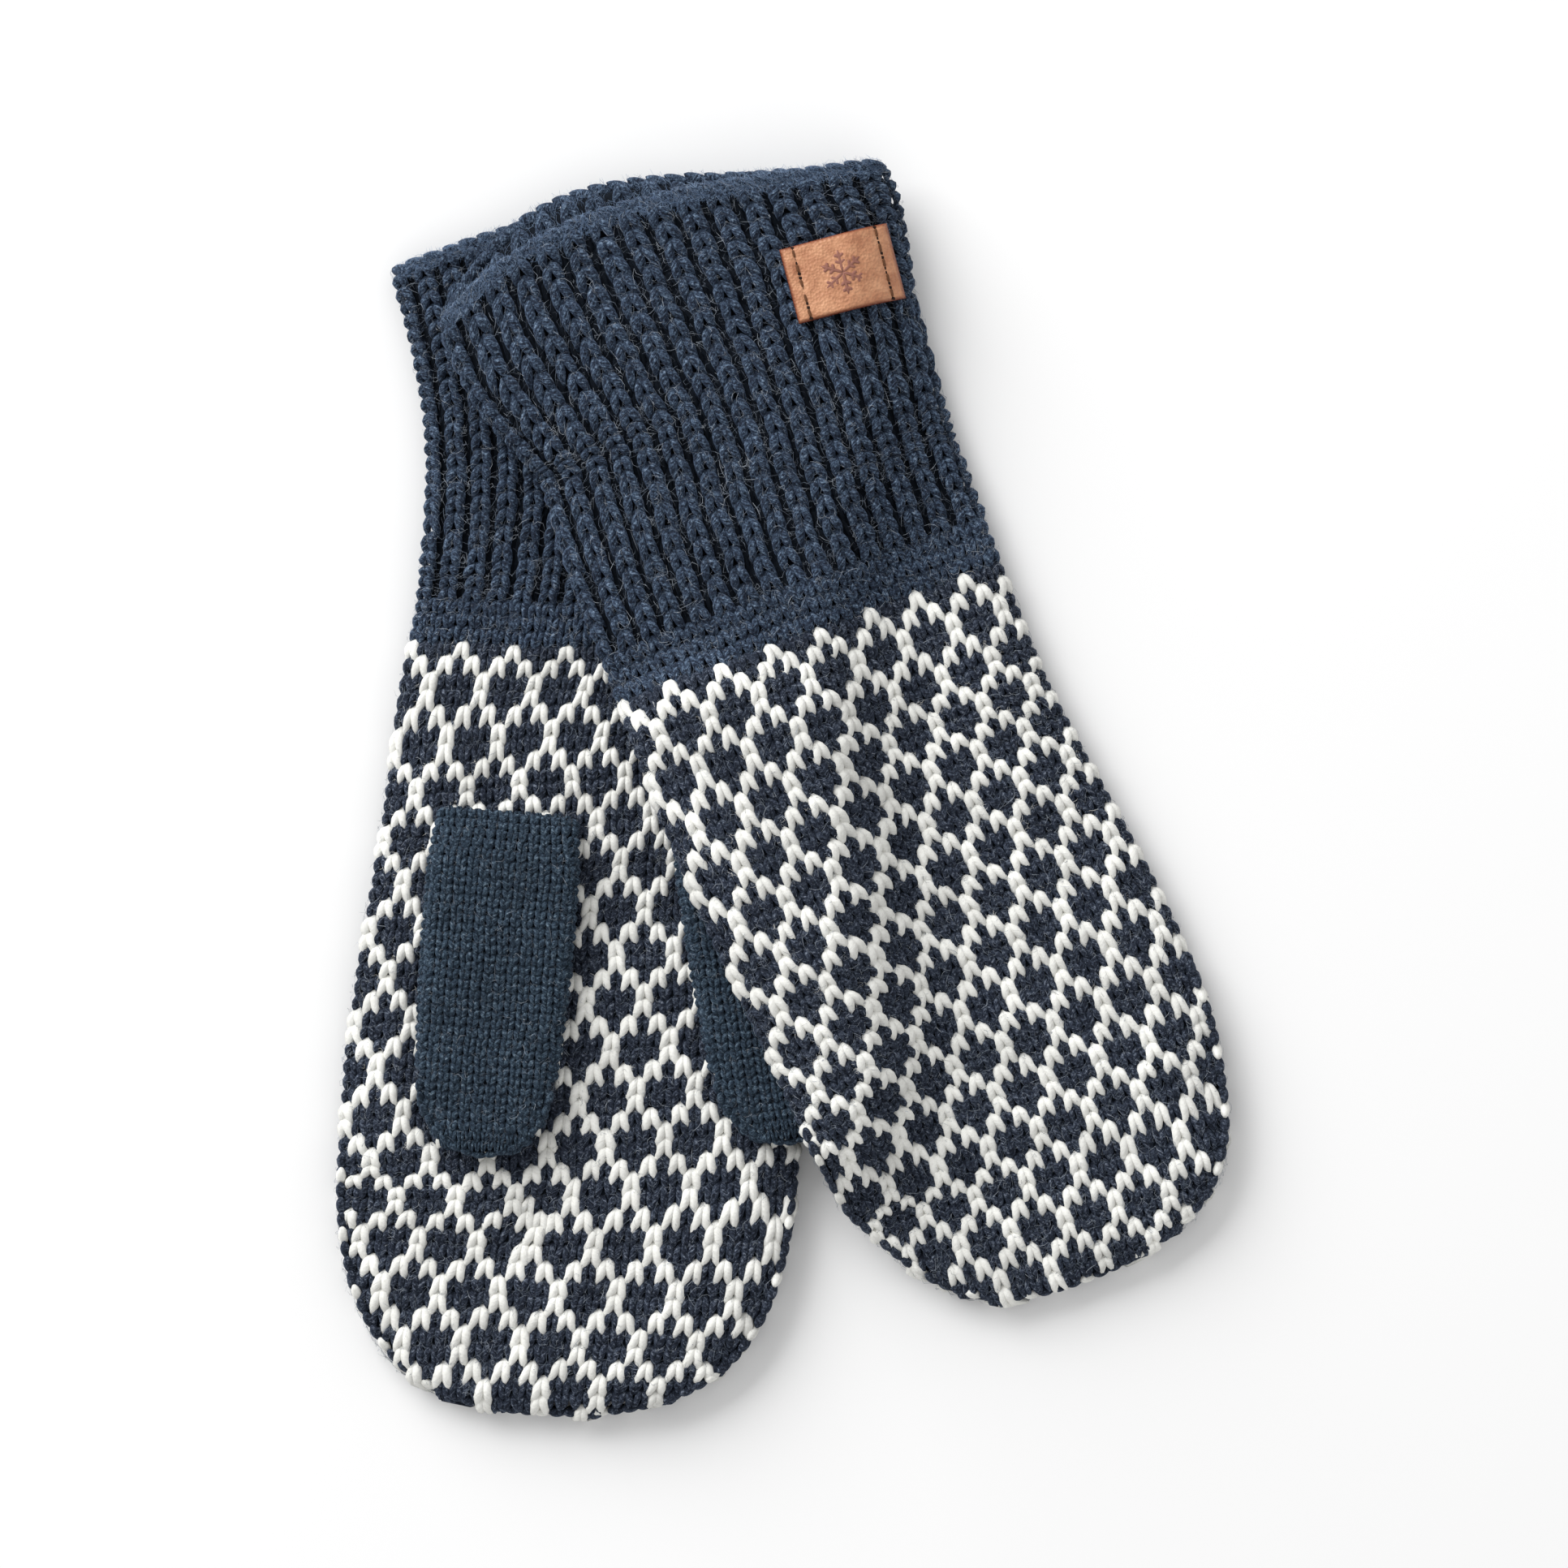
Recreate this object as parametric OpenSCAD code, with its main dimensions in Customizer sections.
// Pair of knitted mittens, lying flat: the right mitten palm up, the left one crossed over it.
// Units are millimetres. +Z is up, +Y runs from the fingertips to the cuffs.

/* [Right mitten, underneath] */
// Length from the wrist line to the finger tip
lower_hand_len = 176; // [165:1:185]
// Length of the ribbed cuff, wrist line to cast-on edge
lower_cuff_len = 100; // [80:1:102]
// Half width at the wrist
lower_wrist_w = 47; // [42:0.5:50]
// Half width across the palm
lower_palm_w = 53.5; // [48:0.5:56]
// Direction of the fingers, degrees from -Y towards +X
lower_tilt = -3.7; // [-6:0.1:0]

/* [Left mitten, on top] */
// Length from the wrist line to the finger tip
upper_hand_len = 164; // [155:1:172]
// Length of the ribbed cuff, wrist line to cast-on edge
upper_cuff_len = 94; // [80:1:98]
// Half width at the wrist
upper_wrist_w = 47.5; // [42:0.5:50]
// Half width across the palm
upper_palm_w = 49.5; // [45:0.5:53]
// Direction of the fingers, degrees from -Y towards +X
upper_tilt = 20.5; // [16:0.5:24]

/* [Fabric] */
// Thickness of a mitten lying flat
flat_t = 10; // [9.5:0.1:12]
// Thickness of the knitted wall of hand and cuff
wall = 2.3; // [1.8:0.1:2.4]
// Length of a thumb
thumb_len = 80; // [70:1:84]
// Half width of a thumb
thumb_w = 17.5; // [15:0.5:18]
// Thickness of a thumb lying flat
thumb_t = 7.4; // [7.2:0.1:8]
// Thickness of the knitted wall of a thumb
thumb_wall = 1.4; // [1.2:0.1:1.5]
// Width of the cast-on edge band
edge_len = 3; // [2:0.5:4]

/* [Leather label] */
// Length of the label across the cuff
label_l = 25.5; // [20:0.5:28]
// Height of the label along the cuff
label_h = 17.5; // [14:0.5:20]
// Leather thickness
label_t = 1.4; // [1:0.1:2]
// Stitches in the row at each short end
label_stitches = 5; // [4:1:7]

/* [Hidden] */

navy = [0.17, 0.21, 0.28];
navy_edge = [0.22, 0.27, 0.36];
patterned = [0.45, 0.48, 0.53];
thumb_navy = [0.16, 0.23, 0.29];
tan_leather = [0.80, 0.55, 0.36];
brown_thread = [0.45, 0.28, 0.16];

LOWER = 0;
UPPER = 1;
wrist = [[-41, 28.7], [5.9, 35.3]];   // middle of each wrist line
tilt = [lower_tilt, upper_tilt];
hand_len = [lower_hand_len, upper_hand_len];
cuff_len = [lower_cuff_len, upper_cuff_len];
wrist_w = [lower_wrist_w, upper_wrist_w];
palm_w = [lower_palm_w, upper_palm_w];
cap_len = [58, 60];                   // the rounded finger tip starts this far from the end
flare = [4, 7.5];                     // how much wider the cuff's mouth is than the wrist
flare_from = [40, 50];                // where along the cuff it starts to widen
flare_to = [112, 86];                 // and where it is at its widest
rim_bow = [4, 10.5];                  // how far the middle of the cast-on edge stands out
rim_skew = [0, 6];                    // and how much further it does so on the left
rim_gape = [0, 5.3];                  // how much further the back layer of the cuff reaches
gape_skew = [0, 7.3];                 // and how much further it does so on the left

gap = 0.35;                           // clearance between the two mittens
joint_gap = 0.4;                      // clearance at the wrist line of the upper mitten
side_n = 3.5;                         // squareness of a flattened tube's cross-section
squash = 1.12;                        // the underside is pressed flat by this factor
fall_from = 6;                        // where the upper mitten starts down to the table
fall_to = 31;                         // where it reaches the table
cuff_fall = 6;                        // and how much further out its cuff starts down
hump_shift = 3.5;                     // the hump over the upper thumb reaches out where it swings
hump_back = 6;                        // the hump starts this far before the thumb's root
hump_r = 18.5;                        // the hump is level this far from its middle line
hump_fall = 22;                       // and falls away over this length
lower_thumb_at = [-63.4, -6.5];
lower_thumb_dir = -4.8;               // degrees from -Y towards +X
upper_thumb_at = [-9.5, -4];
upper_thumb_dir = 8.1;
thumb_cap = 20;
rings_hand = 32;
rings_cuff = 16;
rings_thumb = 16;
sides = 44;
thumb_sides = 24;
label_at = [-73.8, 35.7];             // along and across the upper mitten, from its wrist
label_turn = 5.5;                     // the label sits a little askew on the cuff
label_inset = 3;                      // of each stitch row from the label's short end
stitch_r = 0.4;

// ---- helpers ----
function smooth(a, b, x) = let (u = max(0, min(1, (x - a) / (b - a)))) u * u * (3 - 2 * u);
// Height of a flattened tube's cross-section at phi, for a half width and half height of 1.
function section_z(phi) = sign(sin(phi)) * pow(1 - pow(abs(cos(phi)), side_n), 1 / side_n);
function along(a) = [sin(a), -cos(a)];
function across(a) = [cos(a), sin(a)];
function unit(v) = v / norm(v);

// ---- plan shape of a mitten: s runs along it from the wrist line, + to the finger tip ----
function bend(m, s) = m == LOWER
    ? (s < -35 ? 2.5 - 0.00227 * pow(s + 35, 2)
               : 2.5 - 4 * smooth(-20, 25, s) - 4.5 * smooth(120, 176, s))
    : 2 * smooth(-30, -60, s) - 2.5 * smooth(-48, -94, s) + 7.5 * smooth(20, 115, s) - 2.5 * smooth(130, 164, s);
function spine(m, s) = wrist[m] + s * along(tilt[m]) + bend(m, s) * across(tilt[m]);
function spine_dir(m, s) = unit(spine(m, s + 0.5) - spine(m, s - 0.5));
function cap(from, len, s) = s <= from ? 1
    : pow(1 - pow(min(1, (s - from) / (len - from)), 2.5), 0.4);
function half_w(m, s) =
    s < 0 ? wrist_w[m] + flare[m] * smooth(flare_from[m], flare_to[m], -s)
          : (wrist_w[m] + (palm_w[m] - wrist_w[m]) * smooth(10, 100, s))
            * cap(hand_len[m] - cap_len[m], hand_len[m], s);

// ---- how high each fabric lies ----
function seg_dist(p, a, b) = let (d = b - a, k = max(0, min(1, (p - a) * d / (d * d))))
    norm(p - a - k * d);
hump_from = upper_thumb_at + [-hump_shift, hump_back];
hump_to = hump_from + (thumb_len - thumb_w + hump_back) * along(upper_thumb_dir);
over_lower = flat_t + gap;
over_thumb = over_lower + thumb_t + 2 * gap;
function lift(m, p) = m == LOWER ? 0
    : let (a = over_lower * (1 - smooth(fall_from, fall_to, p.x - cuff_fall * smooth(40, 75, p.y))),
           b = over_thumb * (1 - smooth(hump_r, hump_r + hump_fall,
                                        seg_dist(p, hump_from, hump_to))))
      pow(pow(a, 4) + pow(b, 4), 0.25);

// ---- one point of a flattened knitted tube, skin is how far inside the outer surface ----
function fabric_point(m, s, phi, skin, thick) =
    let (edge = cap(hand_len[m] - 14, hand_len[m], s),
         w = max(0.2, half_w(m, s) - skin),
         h = max(0.2, (thick / 2) * (0.25 + 0.75 * edge) - skin),
         x = w * cos(phi),
         z = max(-h, squash * h * section_z(phi)),
         d = spine_dir(m, s),
         p = spine(m, s) + x * [-d.y, d.x])
    [p.x, p.y, lift(m, p) + thick / 2 + min(h, z)];

// The cast-on edge bows outwards, and the back layer reaches further than the front one.
function rim(m, phi) = let (x = cos(phi), c = 1 - x * x)
    cuff_len[m] + c * (rim_bow[m] - rim_skew[m] * x
                       + (sin(phi) < 0 ? rim_gape[m] - gape_skew[m] * x : 0));

function ring(m, s, n, skin, thick) =
    [for (i = [0:n - 1]) fabric_point(m, s, 360 * i / n, skin, thick)];
// k = 0 at the wrist line, 1 at the cast-on edge, more beyond it
function cuff_ring(m, k, past, n, skin, thick) =
    [for (i = [0:n - 1]) let (phi = 360 * i / n)
        fabric_point(m, -k * rim(m, phi) - past - (m == UPPER ? joint_gap * (1 - k) : 0),
                     phi, skin, thick)];

// ---- closed skins from rings ----
// A tube wall open at both ends: outer and inner rings, joined at the ends.
module tube_wall(outer, inner) {
    n = len(outer[0]);
    r = len(outer);
    pts = concat([for (q = outer) each q], [for (q = inner) each q]);
    function o(k, i) = k * n + i % n;
    function b(k, i) = r * n + k * n + i % n;
    faces = concat(
        [for (k = [0:r - 2], i = [0:n - 1]) each
            [[o(k, i), o(k + 1, i), o(k + 1, i + 1)], [o(k, i), o(k + 1, i + 1), o(k, i + 1)],
             [b(k, i), b(k + 1, i + 1), b(k + 1, i)], [b(k, i), b(k, i + 1), b(k + 1, i + 1)]]],
        [for (i = [0:n - 1]) each
            [[o(0, i), o(0, i + 1), b(0, i + 1)], [o(0, i), b(0, i + 1), b(0, i)],
             [o(r - 1, i), b(r - 1, i + 1), o(r - 1, i + 1)],
             [o(r - 1, i), b(r - 1, i), b(r - 1, i + 1)]]]);
    polyhedron(pts, faces);
}
// A pocket: open at the first ring, both skins closed at the last one.
module pocket(outer, inner) {
    n = len(outer[0]);
    r = len(outer);
    mid_o = [for (q = outer[r - 1]) 1] * outer[r - 1] / n;
    mid_i = [for (q = inner[r - 1]) 1] * inner[r - 1] / n;
    pts = concat([for (q = outer) each q], [for (q = inner) each q], [mid_o, mid_i]);
    tip_o = 2 * r * n;
    function o(k, i) = k * n + i % n;
    function b(k, i) = r * n + k * n + i % n;
    faces = concat(
        [for (k = [0:r - 2], i = [0:n - 1]) each
            [[o(k, i), o(k + 1, i), o(k + 1, i + 1)], [o(k, i), o(k + 1, i + 1), o(k, i + 1)],
             [b(k, i), b(k + 1, i + 1), b(k + 1, i)], [b(k, i), b(k, i + 1), b(k + 1, i + 1)]]],
        [for (i = [0:n - 1]) each
            [[o(0, i), o(0, i + 1), b(0, i + 1)], [o(0, i), b(0, i + 1), b(0, i)],
             [o(r - 1, i), tip_o, o(r - 1, i + 1)], [b(r - 1, i), b(r - 1, i + 1), tip_o + 1]]]);
    polyhedron(pts, faces);
}

// ---- sub-parts ----
module cuff(m) {
    steps = [for (k = [0:rings_cuff]) k / rings_cuff];
    tube_wall([for (k = steps) cuff_ring(m, k, 0, sides, 0, flat_t)],
              [for (k = steps) cuff_ring(m, k, 0, sides, wall, flat_t)]);
}

module cast_on_edge(m) {
    steps = [0, 0.5, 1];
    tube_wall([for (k = steps) cuff_ring(m, 1, k * edge_len, sides, 0.5 * k * k, flat_t)],
              [for (k = steps) cuff_ring(m, 1, k * edge_len, sides, wall - 0.5 * k * k, flat_t)]);
}

// Rings crowd towards the finger tip, where the outline turns fastest.
function hand_s(m, k, len) = len * (1 - pow(1 - k, 1.7));
module hand(m) {
    steps = [for (k = [0:rings_hand]) k / rings_hand];
    inner_len = hand_len[m] - wall - 0.3;
    difference() {
        pocket([for (k = steps) ring(m, hand_s(m, k, hand_len[m] - 0.3), sides, 0, flat_t)],
               [for (k = steps) ring(m, hand_s(m, k, inner_len), sides, wall, flat_t)]);
        thumb_slit(m);
    }
}

// The opening in the palm that the thumb is knitted on to.
module thumb_slit(m) {
    at = m == LOWER ? lower_thumb_at : upper_thumb_at;
    turn = m == LOWER ? lower_thumb_dir : upper_thumb_dir;
    z = m == LOWER ? flat_t - wall - 1 : over_thumb - 1;
    translate([at.x, at.y, z]) rotate([0, 0, turn])
        translate([-thumb_w + 3, 0, 0]) cube([2 * thumb_w - 6, 7, wall + 2]);
}

function thumb_ring(at, dir, z0, s, skin) =
    let (w = max(0.2, thumb_w * cap(thumb_len - thumb_cap, thumb_len, s) - skin),
         h = max(0.2, thumb_t / 2 * (0.3 + 0.7 * cap(thumb_len - 8, thumb_len, s)) - skin),
         c = at + s * along(dir))
    [for (i = [0:thumb_sides - 1]) let (phi = 360 * i / thumb_sides, x = w * cos(phi))
        [c.x + x * cos(dir), c.y + x * sin(dir), z0 + thumb_t / 2 + h * section_z(phi)]];
module thumb(at, dir, z0) {
    steps = [for (k = [0:rings_thumb]) 1 - pow(1 - k / rings_thumb, 1.7)];
    pocket([for (k = steps) thumb_ring(at, dir, z0, k * (thumb_len - 0.3), 0)],
           [for (k = steps) thumb_ring(at, dir, z0, k * (thumb_len - 0.3 - thumb_wall), thumb_wall)]);
}

// ---- the leather label, curved to the cuff it is sewn on ----
// Highest point of the upper cuff at plan position p, from the cross-section's own formula.
function cuff_top(p) =
    let (d = p - wrist[UPPER], s = d * along(tilt[UPPER]),
         t = d * across(tilt[UPPER]) - bend(UPPER, s),
         x = min(0.97, abs(t) / half_w(UPPER, s)),
         z = squash * pow(1 - pow(x, side_n), 1 / side_n))
    lift(UPPER, p) + flat_t / 2 * (1 + min(1, z));
// Plan position of a point on the label, a along its length and b along its height.
function label_plan(a, b) =
    wrist[UPPER] + label_at[0] * along(tilt[UPPER]) + label_at[1] * across(tilt[UPPER])
    + a * across(tilt[UPPER] - label_turn) - b * along(tilt[UPPER] - label_turn);
label_nx = 10;
label_ny = 6;
module label_patch() {
    grid = [for (z = [0.15, label_t + 0.15], j = [0:label_ny], i = [0:label_nx])
        let (p = label_plan(label_l * (i / label_nx - 0.5), label_h * (j / label_ny - 0.5)))
        [p.x, p.y, cuff_top(p) + z]];
    function g(l, i, j) = (l * (label_ny + 1) + j) * (label_nx + 1) + i;
    function quad(a, b, c, d) = [[a, b, c], [a, c, d]];
    faces = concat(
        [for (j = [0:label_ny - 1], i = [0:label_nx - 1]) each concat(
            quad(g(0, i, j), g(0, i + 1, j), g(0, i + 1, j + 1), g(0, i, j + 1)),
            quad(g(1, i, j), g(1, i, j + 1), g(1, i + 1, j + 1), g(1, i + 1, j)))],
        [for (i = [0:label_nx - 1]) each concat(
            quad(g(0, i, 0), g(1, i, 0), g(1, i + 1, 0), g(0, i + 1, 0)),
            quad(g(0, i, label_ny), g(0, i + 1, label_ny), g(1, i + 1, label_ny),
                 g(1, i, label_ny)))],
        [for (j = [0:label_ny - 1]) each concat(
            quad(g(0, 0, j), g(0, 0, j + 1), g(1, 0, j + 1), g(1, 0, j)),
            quad(g(0, label_nx, j), g(1, label_nx, j), g(1, label_nx, j + 1),
                 g(0, label_nx, j + 1)))]);
    color(tan_leather) polyhedron(grid, faces);
}

// A row of running stitches across the label, side -1 at its inner end and 1 at its outer end.
module stitch_row(side) {
    pitch = label_h / label_stitches;
    a = side * (label_l / 2 - label_inset);
    for (i = [0:label_stitches - 1]) {
        b = (i + 0.5) * pitch - label_h / 2;
        p = label_plan(a, b - 0.3 * pitch);
        q = label_plan(a, b + 0.3 * pitch);
        zp = cuff_top(p) + label_t + 0.3 + stitch_r;
        zq = cuff_top(q) + label_t + 0.3 + stitch_r;
        color(brown_thread) hull() {
            translate([p.x, p.y, zp]) sphere(stitch_r, $fn = 12);
            translate([q.x, q.y, zq]) sphere(stitch_r, $fn = 12);
        }
    }
}

module lower_cast_on_edge() { color(navy_edge) cast_on_edge(LOWER); }
module lower_cuff() { color(navy) cuff(LOWER); }
module lower_hand() { color(patterned) hand(LOWER); }
module lower_thumb() { color(thumb_navy) thumb(lower_thumb_at, lower_thumb_dir, over_lower); }
module upper_cast_on_edge() { color(navy_edge) cast_on_edge(UPPER); }
module upper_cuff() { color(navy) cuff(UPPER); }
module upper_hand() { color(patterned) hand(UPPER); }
module upper_thumb() { color(thumb_navy) thumb(upper_thumb_at, upper_thumb_dir, over_lower); }
module label_stitches_inner() { stitch_row(-1); }
module label_stitches_outer() { stitch_row(1); }

lower_cast_on_edge();
lower_cuff();
lower_hand();
lower_thumb();
upper_cast_on_edge();
upper_cuff();
upper_hand();
upper_thumb();
label_patch();
label_stitches_inner();
label_stitches_outer();
